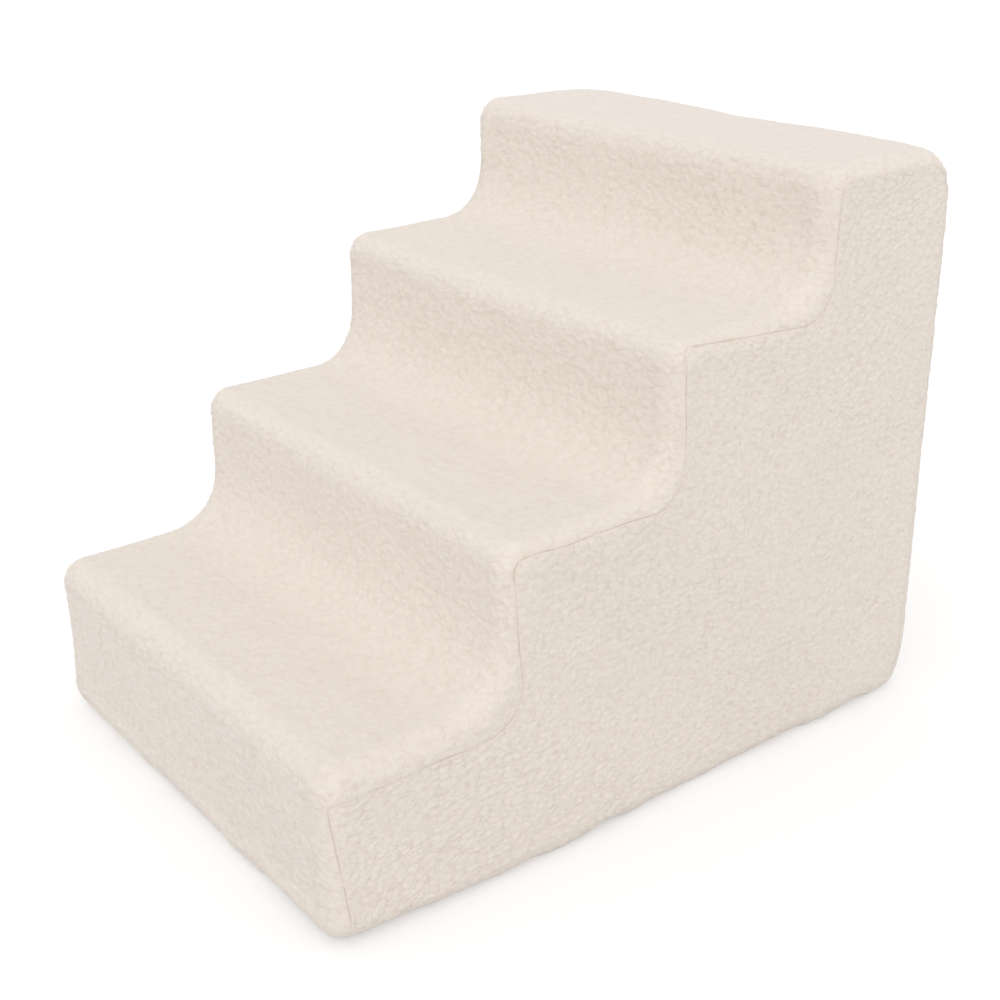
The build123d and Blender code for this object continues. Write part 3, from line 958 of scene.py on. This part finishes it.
def tube(name, line, radius, sides, closed=False):
    """A round tube along a line: centre plus radius times (cos(a) * left + sin(a) * up), where
    left is square to the heading and as level as the line allows."""
    before = line[-1:] if closed else 2 * line[:1] - line[1:2]
    after = line[:1] if closed else 2 * line[-1:] - line[-2:-1]
    long_line = np.vstack([before, line, after])
    heading = long_line[2:] - long_line[:-2]
    heading /= np.linalg.norm(heading, axis=1, keepdims=True)
    left = np.cross(heading, [1.0, 0.02, 0.01])
    left /= np.linalg.norm(left, axis=1, keepdims=True)
    up = np.cross(heading, left)
    angle = np.linspace(0, 2 * math.pi, sides, endpoint=False)[None, :, None]
    ring = np.cos(angle) * left[:, None, :] + np.sin(angle) * up[:, None, :]
    points = line[:, None, :] + radius * ring
    faces = capped_faces(len(line), sides)
    if closed:
        faces = (grid_faces(len(line) + 1, sides) % (len(line) * sides)).tolist()
    return mesh_piece(name, points, faces)


def thread_material():
    """Two twisted plies: slanting bands of light and shade that come round every 2 mm."""
    material, nodes, links, shader = new_material("sewing_thread", 0.7)
    plies = nodes.new("ShaderNodeTexWave")
    plies.bands_direction = "DIAGONAL"
    plies.inputs["Scale"].default_value = 1 / PLY_SIZE
    plies.inputs["Distortion"].default_value = 0.6
    links.new(object_position(nodes), plies.inputs["Vector"])
    two_tone(nodes, links, plies.outputs["Fac"], THREAD_SHADE, THREAD_COLOUR, shader)
    relief(nodes, links, plies.outputs["Fac"], PLY_DEPTH, shader)
    shader.inputs["Sheen Weight"].default_value = 0.2
    return material


THREAD_FINISH = thread_material()


def side_thread(name, side):
    """The seam's line, sunk below the shell by its depth plus radius times cos(2 pi s / stitch),
    and further where the pile covers it."""
    seam = SEAM_SAMPLES[SEAM_SAMPLES[:, 1] > THREAD_START]
    line, along = even_steps(np.column_stack([shell(seam, DOWN)[0], seam]), THREAD_STEP)
    _, _, facing = shell(line[:, 1:], DOWN)
    stitch = THREAD_RADIUS * np.cos(2 * math.pi * along / SIDE_STITCH)
    dip = SIDE_THREAD_DEPTH + stitch + corner_pull(line) + HIDDEN_DEPTH * covered(line)
    line = line - dip[:, None] * facing
    line[:, 0] += belly(line)
    line[:, 0] *= side
    return tube(name, line, THREAD_RADIUS, THREAD_SIDES)


for name, side in (("right", 1), ("left", -1)):
    thread = side_thread(f"side_thread_{name}", side)
    finish_piece(thread, "stairs", [f"side_seam_thread_{name}"], THREAD_FINISH)


# Base fabric.
# A plain woven polyester sheet closes the bottom, pulled flat between the hems under the foam.
# It is the colour of the fleece, a shade greyer.

BASE_SPACING = 4 * MM
BASE_WAVE = 0.15 * MM
WAVE_SIZE = 28 * MM
BASE_YARN = 0.8 * MM
SLUB_SIZE = 6 * MM
BASE_DEPTH = 0.25 * MM
BASE_COLOUR = (0.70, 0.66, 0.59, 1)
BASE_SHADE = (0.47, 0.43, 0.37, 1)


def weave_group():
    """Plain weave, shared by the base fabric and the zip tapes. Height is high where a yarn crosses
    over: |sin(pi u) * sin(pi v)|, with u and v counted in yarns."""
    group = bpy.data.node_groups.new("plain_weave", "ShaderNodeTree")
    for name in ("Across", "Along", "Yarn"):
        group.interface.new_socket(name=name, in_out="INPUT", socket_type="NodeSocketFloat")
    group.interface.new_socket(name="Height", in_out="OUTPUT", socket_type="NodeSocketFloat")
    nodes, links = group.nodes, group.links
    given, result = nodes.new("NodeGroupInput"), nodes.new("NodeGroupOutput")
    waves = []
    for name in ("Across", "Along"):
        yarns = worked_out(nodes, links, "DIVIDE", given.outputs[name], given.outputs["Yarn"])
        turn = worked_out(nodes, links, "MULTIPLY", yarns, math.pi)
        waves.append(worked_out(nodes, links, "SINE", turn))
    crossing = worked_out(nodes, links, "ABSOLUTE", worked_out(nodes, links, "MULTIPLY", *waves))
    links.new(crossing, result.inputs["Height"])
    return group


WEAVE = weave_group()


def woven(nodes, links, across, along, yarn):
    """The weave group, placed in a material with its own yarn width."""
    weave = nodes.new("ShaderNodeGroup")
    weave.node_tree = WEAVE
    links.new(across, weave.inputs["Across"])
    links.new(along, weave.inputs["Along"])
    weave.inputs["Yarn"].default_value = yarn
    return weave.outputs["Height"]


def position_parts(nodes, links):
    """The position on the piece as x, y and z."""
    parts = nodes.new("ShaderNodeSeparateXYZ")
    links.new(object_position(nodes), parts.inputs[0])
    return parts.outputs


def base_fabric_material():
    """Plain weave of thick yarns, uneven in tone from place to place, with painted shade between
    the yarn crossings.
    """
    material, nodes, links, shader = new_material("woven_base", 0.85)
    x, y, _ = position_parts(nodes, links)
    height = woven(nodes, links, x, y, BASE_YARN)
    slubs = noise_mask(nodes, links, SLUB_SIZE, 4).outputs["Fac"]
    # Darker between the yarn crossings: painted shade. The slubs are the yarn's own uneven tone.
    shade = worked_out(nodes, links, "MULTIPLY_ADD", height, 0.5, slubs)
    two_tone(nodes, links, shade, BASE_SHADE, BASE_COLOUR, shader)
    relief(nodes, links, height, BASE_DEPTH, shader)
    return material


def base_fabric():
    """Two faces one fabric thickness apart, joined at the edge, lowered by soft noise."""
    columns, rows = (
        np.linspace(low, high, int((high - low) / BASE_SPACING) + 1)
        for low, high in zip(base_low.xy, base_high.xy)
    )
    across = np.concatenate([columns[::-1], columns])
    x, y = np.meshgrid(across, rows)
    under = np.broadcast_to(np.arange(across.size) < columns.size, x.shape)
    wave = BASE_WAVE * (1 + soft_noise(np.stack([x, y, 0 * x], -1), WAVE_SIZE, 101))
    z = np.where(under, base_low.z, base_high.z) - wave
    return mesh_piece("base_fabric", np.stack([x, y, z], -1), capped_faces(*x.shape))


base_sheet = base_fabric()
finish_piece(base_sheet, "stairs", ["base_panel"], base_fabric_material())


# Grip dots.
# Drops of soft rubber printed on the base fabric in rows 30 mm apart, so that the stairs don't
# slide. Each is a flat-topped dome 6 mm across.

DOT_PITCH = 30 * MM
DOT_RADIUS = 3 * MM
DOT_SIDES = 12
DOT_PROFILE = np.array([(0.96, 1.3), (1, 0.75), (0.93, 0.35), (0.78, 0.08), (0.55, 0.0)])
DOT_GRAIN = 0.7 * MM
DOT_DEPTH = 0.05 * MM
DOT_COLOUR = (0.60, 0.585, 0.55, 1)
DOT_SHADE = (0.42, 0.41, 0.385, 1)


def repeated_rings(name, hearts, stations, sides, squareness=1, laid=np.eye(3)):
    """Many copies of one rounded solid: rings (height, half x, half y) stacked along an axis, with
    each ring point at half width times cos(a) to a power, kept in sign. Both ends are closed. Laid
    gives the directions of its x, its y and its height."""
    angle = np.linspace(0, 2 * math.pi, sides, endpoint=False) + math.pi / sides
    ring = np.stack([np.cos(angle), np.sin(angle)], -1)
    ring = np.sign(ring) * np.abs(ring) ** squareness
    flat = ring[None, :, :] * stations[:, None, 1:]
    heights = np.broadcast_to(stations[:, None, :1], (*flat.shape[:2], 1))
    shape = np.concatenate([flat, heights], -1) @ laid
    points = hearts[:, None, None, :] + shape[None]
    each = len(stations) * sides
    starts = (np.arange(len(hearts)) * each)[:, None, None]
    walls = (grid_faces(len(stations), sides)[None] + starts).reshape(-1, 4).tolist()
    ends = np.stack([np.arange(sides)[::-1], each - sides + np.arange(sides)])
    caps = (ends[None] + starts).reshape(-1, sides).tolist()
    return mesh_piece(name, points, walls + caps)


def rubber_material():
    """Matt printed rubber with a fine grain."""
    return clouded("grip_rubber", 0.6, (DOT_GRAIN, 4), DOT_SHADE, DOT_COLOUR, DOT_DEPTH)[0]


def grip_dots():
    """Dots at the places of the solid ones. The profile gives shares of the radius and height, and
    its first ring is sunk in the fabric."""
    low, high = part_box("grip_dots")
    columns, rows = (np.arange(low[axis] + DOT_RADIUS, high[axis], DOT_PITCH) for axis in range(2))
    x, y = (part.ravel() for part in np.meshgrid(columns, rows))
    radius, height = DOT_PROFILE[::-1].T
    stations = np.stack([height * high.z, radius * DOT_RADIUS, radius * DOT_RADIUS], -1)
    return repeated_rings("printed_dots", np.stack([x, y, 0 * x], -1), stations, DOT_SIDES)


finish_piece(grip_dots(), "stairs", ["grip_dots"], rubber_material())


# Base seam thread.
# The same thread runs round the base fabric, in the corner where the hems meet it.

BASE_STITCH = 4 * MM
BASE_THREAD_RADIUS = 0.35 * MM
BASE_STITCH_RISE = 0.08 * MM
CORNER_STEPS = 6


def path_line(runs, steps):
    """The path as a line of short pieces: each arc in a number of steps, each straight in one."""
    shares = [np.linspace(0, 1, steps + 1)[1:] if run[3] else np.ones(1) for run in runs]
    index = np.concatenate([np.full(len(share), i) for i, share in enumerate(shares)])
    points, _ = on_path(runs, index, np.concatenate(shares))
    return np.vstack([runs[:1, :2], points])


def base_thread():
    """A rounded rectangle just inside the edge of the base, rising a little at each stitch."""
    low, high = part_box("base_seam_thread")
    inset = BASE_THREAD_RADIUS
    x, y = high.x - inset, high.y - inset
    bend = 4 * inset
    corners = [(0, -y, 0), (x, -y, bend), (x, y, bend), (-x, y, bend), (-x, -y, bend), (0, -y, 0)]
    loop = path_line(path_runs(np.array(corners)), CORNER_STEPS)
    level = np.full(len(loop), (low.z + high.z) / 2)
    line, along = even_steps(np.column_stack([loop, level]), THREAD_STEP)
    line[:, 2] += BASE_STITCH_RISE * np.cos(2 * math.pi * along / BASE_STITCH)
    return tube("base_thread", line[:-1], inset, THREAD_SIDES, closed=True)


finish_piece(base_thread(), "stairs", ["base_seam_thread"], THREAD_FINISH)


# Zip tapes.
# Two woven polyester tapes carry the teeth, sewn behind the lips of the fleece. Each has a corded
# edge where the teeth are clamped on.

TAPE_STEP = 0.6 * MM
TAPE_LENGTH_STEP = 4 * MM
TAPE_RIM = 0.4 * MM
TAPE_CORD = 0.35 * MM
CORD_INSET = 0.9 * MM
CORD_WIDTH = 0.5 * MM
TAPE_DEPTH = 0.15 * MM
TAPE_COLOUR = (0.83, 0.78, 0.70, 1)
TAPE_SHADE = (0.68, 0.62, 0.53, 1)
TAPE_YARN = 0.55 * MM
TAPE_TWILL = 2.4 * MM


def zip_tape(name, node, toward_teeth):
    """A flat band with rounded edges: half thickness plus a cord's round beside the teeth."""
    low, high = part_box(node)
    x = np.linspace(low.x, high.x, int((high.x - low.x) / TAPE_LENGTH_STEP) + 1)
    z = np.linspace(low.z, high.z, int((high.z - low.z) / TAPE_STEP) + 1)
    from_teeth = (high.z - z) if toward_teeth > 0 else (z - low.z)
    from_rim = np.minimum(high.z - z, z - low.z)
    half = (high.y - low.y) / 2 * np.sqrt(np.clip(from_rim / TAPE_RIM, 0.05, 1))
    half = half + TAPE_CORD * np.exp(-(((from_teeth - CORD_INSET) / CORD_WIDTH) ** 2))
    ring_y = (low.y + high.y) / 2 + np.concatenate([half, -half[::-1]])
    ring_z = np.concatenate([z, z[::-1]])
    points = np.stack(np.broadcast_arrays(x[:, None], ring_y[None], ring_z[None]), -1)
    return mesh_piece(name, points, capped_faces(len(x), len(ring_z)))


def tape_material():
    """Herringbone: the plain weave sheared along the tape, back and forth every few yarns."""
    material, nodes, links, shader = new_material("zip_tape_weave", 0.8)
    x, _, z = position_parts(nodes, links)
    rib = worked_out(nodes, links, "PINGPONG", z, TAPE_TWILL)
    sheared = worked_out(nodes, links, "ADD", x, rib)
    height = woven(nodes, links, z, sheared, TAPE_YARN)
    # Paler where a yarn crosses over and darker between the crossings: painted shade in the weave.
    two_tone(nodes, links, height, TAPE_SHADE, TAPE_COLOUR, shader)
    relief(nodes, links, height, TAPE_DEPTH, shader)
    return material


TAPE_FINISH = tape_material()
for name, toward_teeth in (("upper", -1), ("lower", 1)):
    tape = zip_tape(f"woven_tape_{name}", f"zip_tape_{name}", toward_teeth)
    finish_piece(tape, "stairs", [f"zip_tape_{name}"], TAPE_FINISH)


# Tape stitching.
# A row of lock stitches above and below the zip holds the fleece to the tapes. Each stitch is a
# short raised length of thread in the crease that it makes.

STITCH_LENGTH = 3.2 * MM
STITCH_RADIUS = 0.4 * MM
STITCH_SIDES = 8
STITCH_STATIONS = np.array(
    [(-0.5, 0.35), (-0.4, 0.8), (-0.15, 1), (0.15, 1), (0.4, 0.8), (0.5, 0.35)]
)
LAID_ALONG = np.array([(0, 0, -1), (0, 1, 0), (1, 0, 0)])


def tape_stitching(name, node):
    """Short rounded bars, one to a stitch, laid along the crease and sunk to half their depth. The
    stations give shares of a stitch's length and radius."""
    low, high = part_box(node)
    count = int((high.x - low.x) / STITCH_PITCH) + 1
    x = np.linspace(low.x + STITCH_LENGTH / 2, high.x - STITCH_LENGTH / 2, count)
    hearts = np.stack(np.broadcast_arrays(x, high.y, (low.z + high.z) / 2), -1)
    along, width = STITCH_STATIONS.T
    stations = np.stack([along * STITCH_LENGTH, width * STITCH_RADIUS, width * STITCH_RADIUS], -1)
    return repeated_rings(name, hearts, stations, STITCH_SIDES, laid=LAID_ALONG)


for name in ("upper", "lower"):
    stitches = tape_stitching(f"tape_stitches_{name}", f"zip_stitching_{name}")
    finish_piece(stitches, "stairs", [f"zip_stitching_{name}"], THREAD_FINISH)


# Zip teeth.
# Moulded plastic teeth, clamped on the corded edge of each tape. The two rows mesh: each tooth's
# head lies between the necks of two others.

TOOTH_WIDTH = 1.1 * MM
TOOTH_PITCH = 2.6 * MM
TOOTH_REACH = 4 * MM
TOOTH_STATIONS = np.array(
    [
        (0, 0.42, 0.95),
        (0.12, 0.5, 1.2),
        (0.45, 0.46, 1.15),
        (0.62, 0.4, 0.95),
        (0.82, 0.56, 1.15),
        (1, 0.36, 0.8),
    ]
)
TOOTH_SIDES = 8
TOOTH_SQUARENESS = 0.6
FLOW_SIZE = 2.5 * MM
FLOW_DEPTH = 0.05 * MM
PLASTIC_COLOUR = (0.83, 0.78, 0.69, 1)
PLASTIC_SHADE = (0.72, 0.66, 0.56, 1)


def plastic_material():
    """Satin moulded plastic, with faint flow marks."""
    flow = (FLOW_SIZE, 3)
    return clouded("moulded_plastic", 0.38, flow, PLASTIC_SHADE, PLASTIC_COLOUR, FLOW_DEPTH)[0]


def zip_teeth(name, node, toward):
    """One row of teeth, each stacked from its root on the tape to its rounded head. The stations
    give the share of its reach, and half its width and half its thickness in millimetres."""
    low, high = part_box(node)
    x = np.arange(low.x + TOOTH_WIDTH / 2, high.x, TOOTH_PITCH)
    root = high.z if toward < 0 else low.z
    hearts = np.stack(np.broadcast_arrays(x, (low.y + high.y) / 2, root), -1)
    stations = TOOTH_STATIONS * np.array([toward * TOOTH_REACH, MM, MM])
    order = stations[np.argsort(stations[:, 0])]
    return repeated_rings(name, hearts, order, TOOTH_SIDES, TOOTH_SQUARENESS)


PLASTIC_FINISH = plastic_material()
for name, toward in (("upper", -1), ("lower", 1)):
    teeth = zip_teeth(f"moulded_teeth_{name}", f"zip_teeth_{name}", toward)
    finish_piece(teeth, "stairs", [f"zip_teeth_{name}"], PLASTIC_FINISH)


# Zip stops, slider and pull.
# Nickel-plated zinc. The stops are clamped on the tapes, and the slider and its pull keep their
# solid shape, with the edges rounded over as a casting's are.

METAL_COLOUR = (0.72, 0.70, 0.66, 1)
METAL_WORN = (0.50, 0.47, 0.42, 1)
EDGE_ROUND = 0.16 * MM
WEAR_SIZE = 1.6 * MM
WEAR_DEPTH = 0.03 * MM


def nickel_material():
    """Plated metal: clouded by fine wear, which also dulls it."""
    material, nodes, links, shader, wear = clouded(
        "plated_nickel", 0.3, (WEAR_SIZE, 6, 0.7), METAL_COLOUR, METAL_WORN, WEAR_DEPTH
    )
    dulled = worked_out(nodes, links, "MULTIPLY_ADD", wear, 0.35, 0.12)
    links.new(dulled, shader.inputs["Roughness"])
    shader.inputs["Metallic"].default_value = 1
    return material


def rounded_copy(name, node):
    """A copy of a node's solid, with its triangles joined into flat faces and its edges rounded."""
    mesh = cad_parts[node].data.copy()
    mesh.materials.clear()
    solid = bmesh.new()
    solid.from_mesh(mesh)
    bmesh.ops.remove_doubles(solid, verts=solid.verts, dist=WELD)
    flat = math.radians(1)
    bmesh.ops.dissolve_limit(solid, angle_limit=flat, verts=solid.verts, edges=solid.edges)
    bmesh.ops.recalc_face_normals(solid, faces=solid.faces)
    solid.to_mesh(mesh)
    solid.free()
    mesh.polygons.foreach_set("use_smooth", np.ones(len(mesh.polygons), bool))
    piece = placed(name, mesh)
    bevel = piece.modifiers.new("rounded edges", "BEVEL")
    bevel.width = EDGE_ROUND
    bevel.segments = 2
    bevel.limit_method = "ANGLE"
    bevel.harden_normals = True
    return piece


NICKEL_FINISH = nickel_material()
METAL_BODIES = {
    "zip_bottom_stop": "stairs",
    "zip_top_stops": "stairs",
    "zip_slider": "zip_slider",
    "zip_pull": "zip_pull",
}
for node, body in METAL_BODIES.items():
    finish_piece(rounded_copy(f"{node}_metal", node), body, [node], NICKEL_FINISH)


# Floor, light and camera.
# A pale studio sweep under soft, even light from above, and a camera at the photograph's
# viewpoint. The floor shows white to the camera and keeps the stairs' shadow.

CAMERA_AZIMUTH = math.radians(53.03)
CAMERA_ELEVATION = math.radians(23.21)
CAMERA_ROLL = math.radians(-0.68)
CAMERA_DISTANCE = 1114.7 * MM
CAMERA_TARGET = Vector((-5.3, 14.1, 150.8)) * MM
CAMERA_LENS = 55.56
FLOOR_SIZE = 12
FLOOR_COLOUR = (0.72, 0.72, 0.72, 1)
FLOOR_GLOW = 0.325
WORLD_LIGHT = 0.845
LIGHTS = (("light_above", (0.1, 0.12, -1), 0.17, 50), ("light_side", (-0.85, 0.68, -0.5), 0.88, 60))


def seen_directly(nodes, links):
    """1 for what the camera sees, also in metal or glass, and 0 for light on the stairs."""
    rays = nodes.new("ShaderNodeLightPath").outputs
    seen = worked_out(nodes, links, "MAXIMUM", rays["Is Camera Ray"], rays["Is Glossy Ray"])
    return worked_out(nodes, links, "MAXIMUM", seen, rays["Is Transmission Ray"])


def studio_floor():
    """A wide pale plane."""
    points = np.array([[-1, -1, 0], [1, -1, 0], [1, 1, 0], [-1, 1, 0]]) * FLOOR_SIZE / 2
    floor = mesh_piece("studio_floor", points, [[0, 1, 2, 3]])
    material, nodes, links, shader = new_material("studio_white", 0.9)
    shader.inputs["Base Color"].default_value = FLOOR_COLOUR
    shader.inputs["Specular IOR Level"].default_value = 0.1
    shader.inputs["Emission Color"].default_value = (1, 1, 1, 1)
    glow = worked_out(nodes, links, "MULTIPLY", seen_directly(nodes, links), FLOOR_GLOW)
    links.new(glow, shader.inputs["Emission Strength"])
    floor.data.materials.append(material)


def studio_world():
    """An even white surround, a little dimmer on the stairs than it looks to the camera."""
    world = bpy.data.worlds.new("studio")
    world.use_nodes = True
    nodes, links = world.node_tree.nodes, world.node_tree.links
    background = nodes["Background"]
    background.inputs["Color"].default_value = (1, 1, 1, 1)
    seen = seen_directly(nodes, links)
    strength = worked_out(nodes, links, "MULTIPLY_ADD", seen, 1 - WORLD_LIGHT, WORLD_LIGHT)
    links.new(strength, background.inputs["Strength"])
    bpy.context.scene.world = world


def broad_light(name, bearing, strength, spread):
    """A distant soft lamp that shines along a bearing, as even as a wall of softboxes."""
    lamp = bpy.data.lights.new(name, "SUN")
    lamp.energy = strength
    lamp.angle = math.radians(spread)
    placed(name, lamp).rotation_euler = Vector(bearing).to_track_quat("-Z", "Y").to_euler()


def studio_camera():
    """A camera on the bearing and height of the photograph, level but for a slight roll."""
    level = math.cos(CAMERA_ELEVATION)
    sin_az, cos_az = math.sin(CAMERA_AZIMUTH), math.cos(CAMERA_AZIMUTH)
    back = Vector((sin_az * level, -cos_az * level, math.sin(CAMERA_ELEVATION)))
    right = Vector((cos_az, sin_az, 0))
    up = back.cross(right)
    turned = Matrix((right, up, back)).transposed() @ Matrix.Rotation(CAMERA_ROLL, 3, "Z")
    lens = bpy.data.cameras.new("camera")
    lens.lens = CAMERA_LENS
    camera = placed("camera", lens)
    place = Matrix.Translation(CAMERA_TARGET + back * CAMERA_DISTANCE)
    camera.matrix_world = place @ turned.to_4x4()
    bpy.context.scene.camera = camera


studio_floor()
studio_world()
for light in LIGHTS:
    broad_light(*light)
studio_camera()
bpy.context.scene.view_settings.view_transform = "Standard"
